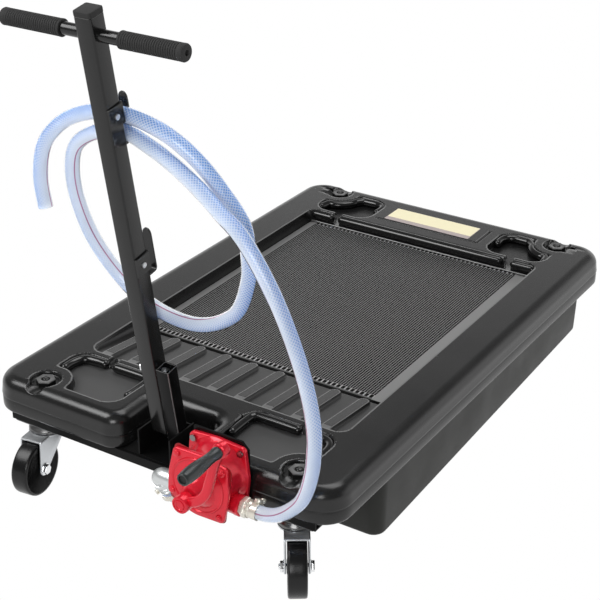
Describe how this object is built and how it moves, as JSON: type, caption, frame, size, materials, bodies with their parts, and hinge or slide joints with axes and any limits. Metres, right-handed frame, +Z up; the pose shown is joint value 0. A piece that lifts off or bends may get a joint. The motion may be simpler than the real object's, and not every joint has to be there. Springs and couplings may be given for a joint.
{
  "type": "rolling oil drain pan",
  "caption": "Low wheeled oil drain pan: black strainer deck over a sloping sump, folding draw handle with hose hooks, red hand-crank rotary pump, clear discharge hose and swivel casters.",
  "frame": {"origin": "on the floor, under the middle of the part's box without the hose", "axes": "+Z up; -Y towards the handle and pump end; +X to the right as seen from that end"},
  "size_m": [0.684, 1.238, 0.901],
  "materials": {
    "black_plastic": "satin",
    "black_steel": "gloss",
    "grate_black": "satin",
    "label_cream": "matte",
    "zinc": "satin",
    "dark_bolt": "satin",
    "wheel_black": "matte",
    "grip_rubber": "matte",
    "pump_red": "gloss",
    "hose_clear": "gloss",
    "fitting_grey": "satin",
    "gasket_black": "matte"
  },
  "bodies": {
    "tank": {"deck": "black_plastic", "sump_tub": "black_plastic", "strainer_grate": "grate_black", "label_plate": "label_cream", "corner_bolts": "dark_bolt", "corner_nuts": "zinc", "front_cross_tube": "black_steel", "rear_cross_tube": "black_steel", "foot_bracket": "black_steel", "foot_bolts": "zinc", "post": "black_steel", "pivot_bolt": "zinc", "pivot_nut": "zinc", "pump_bracket": "black_steel", "bracket_bolts": "zinc", "pump_body": "pump_red", "flange_screws": "zinc", "gasket": "gasket_black", "pump_cover": "pump_red", "cover_screws": "pump_red", "outlet_barb": "fitting_grey", "inlet_elbow": "fitting_grey", "sump_spigot": "fitting_grey", "suction_hose": "hose_clear", "hose_clamps": "zinc", "hose": "hose_clear", "caster_plates": "zinc", "rear_forks": "zinc", "rear_axles": "zinc", "caster_bolts": "zinc"},
    "mast": {"mast_tube": "black_steel", "mast_cap": "black_plastic", "cross_bar": "black_steel", "bar_grip_left": "grip_rubber", "bar_grip_right": "grip_rubber", "hook_upper": "black_steel", "hook_lower": "black_steel", "hook_screws": "zinc"},
    "crank": {"crank_arm": "pump_red", "hub_screw": "pump_red", "grip_spindle": "zinc", "rotor": "zinc"},
    "grip": {"crank_grip": "grip_rubber"},
    "caster_left": {"fork_left": "zinc", "axle_left": "zinc"},
    "caster_right": {"fork_right": "zinc", "axle_right": "zinc"},
    "wheel_front_left": {"wheel_left": "wheel_black"},
    "wheel_front_right": {"wheel_right": "wheel_black"},
    "wheel_rear_left": {"rear_wheel_left": "wheel_black"},
    "wheel_rear_right": {"rear_wheel_right": "wheel_black"}
  },
  "joints": [
    {"name": "mast_fold", "type": "hinge", "parent": "tank", "child": "mast", "pos_m": [-0.0145, -0.387, 0.292], "axis": [-1, 0, 0], "range_deg": [0, 98], "deforming": ["hose"]},
    {"name": "crank_turn", "type": "hinge", "parent": "tank", "child": "crank", "pos_m": [0.142, -0.501, 0.177], "axis": [0, -1, 0], "continuous": true},
    {"name": "grip_spin", "type": "hinge", "parent": "crank", "child": "grip", "pos_m": [0.214, -0.576, 0.295], "axis": [0, -1, 0], "continuous": true},
    {"name": "swivel_left", "type": "hinge", "parent": "tank", "child": "caster_left", "pos_m": [-0.255, -0.389, 0.11], "axis": [0, 0, 1], "continuous": true},
    {"name": "swivel_right", "type": "hinge", "parent": "tank", "child": "caster_right", "pos_m": [0.255, -0.389, 0.11], "axis": [0, 0, 1], "continuous": true},
    {"name": "roll_front_left", "type": "hinge", "parent": "caster_left", "child": "wheel_front_left", "pos_m": [-0.24988, -0.43069, 0.0495], "axis": [0.9925, 0.1219, 0], "continuous": true},
    {"name": "roll_front_right", "type": "hinge", "parent": "caster_right", "child": "wheel_front_right", "pos_m": [0.27849, -0.42382, 0.0495], "axis": [0.829, 0.5592, 0], "continuous": true},
    {"name": "roll_rear_left", "type": "hinge", "parent": "tank", "child": "wheel_rear_left", "pos_m": [-0.255, 0.569, 0.0495], "axis": [1, 0, 0], "continuous": true},
    {"name": "roll_rear_right", "type": "hinge", "parent": "tank", "child": "wheel_rear_right", "pos_m": [0.255, 0.569, 0.0495], "axis": [1, 0, 0], "continuous": true}
  ]
}
